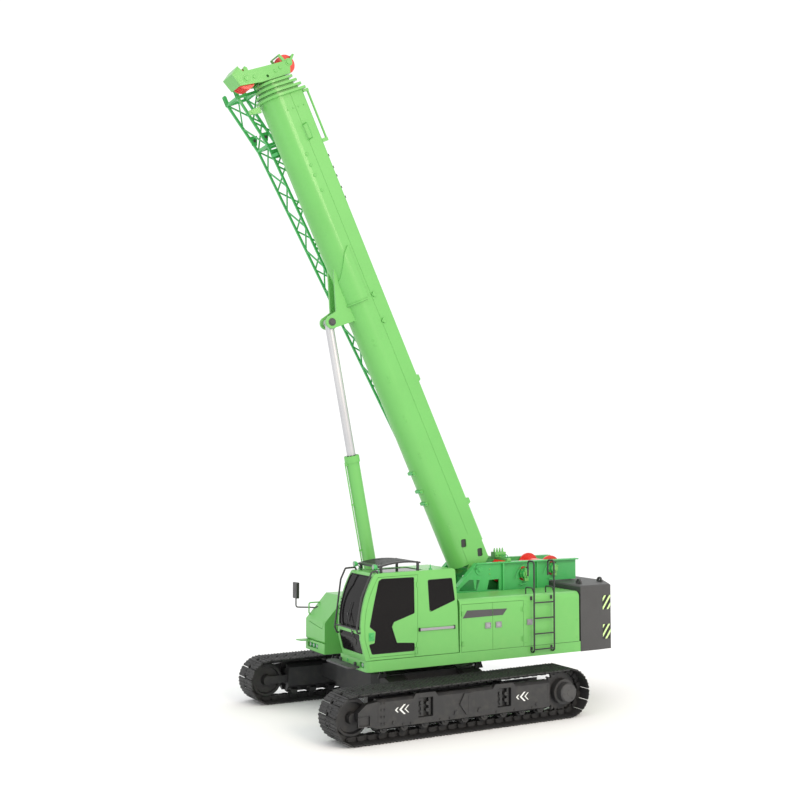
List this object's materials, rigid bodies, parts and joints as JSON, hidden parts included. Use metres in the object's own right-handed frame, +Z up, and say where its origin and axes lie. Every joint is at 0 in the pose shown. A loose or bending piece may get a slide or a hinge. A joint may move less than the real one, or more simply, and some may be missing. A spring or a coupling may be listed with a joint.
{
  "type": "telescopic boom crawler crane",
  "caption": "Crawler crane with a raised telescopic boom, single luffing cylinder, side cab, stowed lattice jib, twin winches, rear counterweight and two shoe tracks.",
  "frame": {"origin": "on the ground under the slewing axis, midway between the tracks and at the middle of their length", "axes": "+X forward, +Y to the left (cab side), +Z up; the boom is raised in the X-Z plane"},
  "size_m": [8.1356, 4.55, 12.6435],
  "materials": {
    "green_paint": "semi-gloss light green paint",
    "undercarriage_black": "satin black paint",
    "track_steel": "dark worn steel",
    "grey_paint": "satin charcoal paint",
    "black_paint": "satin black paint",
    "dark_glass": "dark tinted glass",
    "red_paint": "gloss red",
    "chrome_rod": "hard chrome",
    "seat_cloth": "woven seat cloth"
  },
  "bodies": {
    "undercarriage": {"carbody": "undercarriage_black", "slew_ring_lower": "undercarriage_black", "track_frame_left": "undercarriage_black", "track_frame_right": "undercarriage_black", "track_left": "track_steel", "track_right": "track_steel", "idler_left": "undercarriage_black", "idler_right": "undercarriage_black", "sprocket_left": "undercarriage_black", "sprocket_right": "undercarriage_black", "rollers_left": "undercarriage_black", "rollers_right": "undercarriage_black"},
    "superstructure": {"slew_ring_upper": "undercarriage_black", "deck": "green_paint", "front_step": "grey_paint", "winch_frame": "green_paint", "counterweight": "grey_paint", "housing_left": "green_paint", "housing_right": "green_paint", "housing_front": "green_paint", "power_block": "grey_paint", "cab_shell": "green_paint", "cab_door": "green_paint", "cab_glass": "dark_glass", "cab_seat": "seat_cloth", "roof_guard": "black_paint", "cab_rail": "black_paint", "ladder": "black_paint", "handrail": "green_paint", "mirror_right": "black_paint"},
    "door_left_front": {"door_left_front": "green_paint"},
    "door_left_rear": {"door_left_rear": "green_paint"},
    "door_right_front": {"door_right_front": "green_paint"},
    "door_right_rear": {"door_right_rear": "green_paint"},
    "winch_main": {"winch_main": "red_paint"},
    "winch_auxiliary": {"winch_auxiliary": "red_paint"},
    "boom": {"boom_base": "green_paint", "jib": "green_paint"},
    "boom_section_2": {"boom_section_2": "green_paint"},
    "boom_section_3": {"boom_section_3": "green_paint"},
    "boom_section_4": {"boom_section_4": "green_paint"},
    "boom_section_5": {"boom_section_5": "green_paint", "boom_head": "green_paint"},
    "sheaves_lower": {"sheaves_lower": "red_paint"},
    "sheaves_upper": {"sheaves_upper": "red_paint"},
    "cylinder_barrel": {"cylinder_barrel": "green_paint"},
    "cylinder_rod": {"cylinder_rod": "chrome_rod"}
  },
  "joints": [
    {"name": "slew", "type": "hinge", "parent": "undercarriage", "child": "superstructure", "pos_m": [0, 0, 1.05], "axis": [0, 0, 1], "continuous": true},
    {"name": "luff", "type": "hinge", "parent": "superstructure", "child": "boom", "pos_m": [-1.35, 0, 2.7], "axis": [0, -1, 0], "range_deg": [-64.9, 15.1]},
    {"name": "telescope", "type": "slide", "parent": "boom", "child": "boom_section_2", "axis": [0.4242, 0, 0.9056], "range_m": [0, 7.3]},
    {"name": "telescope_3", "type": "slide", "parent": "boom_section_2", "child": "boom_section_3", "axis": [0.4242, 0, 0.9056], "range_m": [0, 7.31]},
    {"name": "telescope_4", "type": "slide", "parent": "boom_section_3", "child": "boom_section_4", "axis": [0.4242, 0, 0.9056], "range_m": [0, 7.31]},
    {"name": "telescope_5", "type": "slide", "parent": "boom_section_4", "child": "boom_section_5", "axis": [0.4242, 0, 0.9056], "range_m": [0, 7.31]},
    {"name": "cylinder_tilt", "type": "hinge", "parent": "superstructure", "child": "cylinder_barrel", "pos_m": [0.585, 0, 1.4], "axis": [0, -1, 0], "range_deg": [-67.02, 15.98]},
    {"name": "rod_slide", "type": "slide", "parent": "cylinder_barrel", "child": "cylinder_rod", "axis": [0.1898, 0, 0.9818], "range_m": [-2.3207, 0.5476]},
    {"name": "main_winch", "type": "hinge", "parent": "superstructure", "child": "winch_main", "pos_m": [-2.46, 0, 2.57], "axis": [0, 1, 0], "continuous": true},
    {"name": "auxiliary_winch", "type": "hinge", "parent": "superstructure", "child": "winch_auxiliary", "pos_m": [-3.18, 0, 2.65], "axis": [0, 1, 0], "continuous": true},
    {"name": "lower_sheaves", "type": "hinge", "parent": "boom_section_5", "child": "sheaves_lower", "pos_m": [3.57923, 0, 11.99694], "axis": [0, 1, 0], "continuous": true},
    {"name": "upper_sheaves", "type": "hinge", "parent": "boom_section_5", "child": "sheaves_upper", "pos_m": [2.73534, 0, 12.45851], "axis": [0, 1, 0], "continuous": true},
    {"name": "left_front_door", "type": "hinge", "parent": "superstructure", "child": "door_left_front", "pos_m": [-0.296, 1.5, 1.73], "axis": [0, 0, -1], "range_deg": [0, 90]},
    {"name": "left_rear_door", "type": "hinge", "parent": "superstructure", "child": "door_left_rear", "pos_m": [-1.714, 1.5, 1.73], "axis": [0, 0, 1], "range_deg": [0, 90]},
    {"name": "right_front_door", "type": "hinge", "parent": "superstructure", "child": "door_right_front", "pos_m": [-0.296, -1.5, 1.73], "axis": [0, 0, 1], "range_deg": [0, 90]},
    {"name": "right_rear_door", "type": "hinge", "parent": "superstructure", "child": "door_right_rear", "pos_m": [-1.714, -1.5, 1.73], "axis": [0, 0, -1], "range_deg": [0, 90]}
  ],
  "couplings": [
    {"joint": "telescope_3", "follows": "telescope", "ratio": 1},
    {"joint": "telescope_4", "follows": "telescope", "ratio": 1},
    {"joint": "telescope_5", "follows": "telescope", "ratio": 1},
    {"joint": "cylinder_tilt", "follows": "luff", "ratio": 1.025},
    {"joint": "rod_slide", "follows": "luff", "m_per_rad": 2.04}
  ]
}
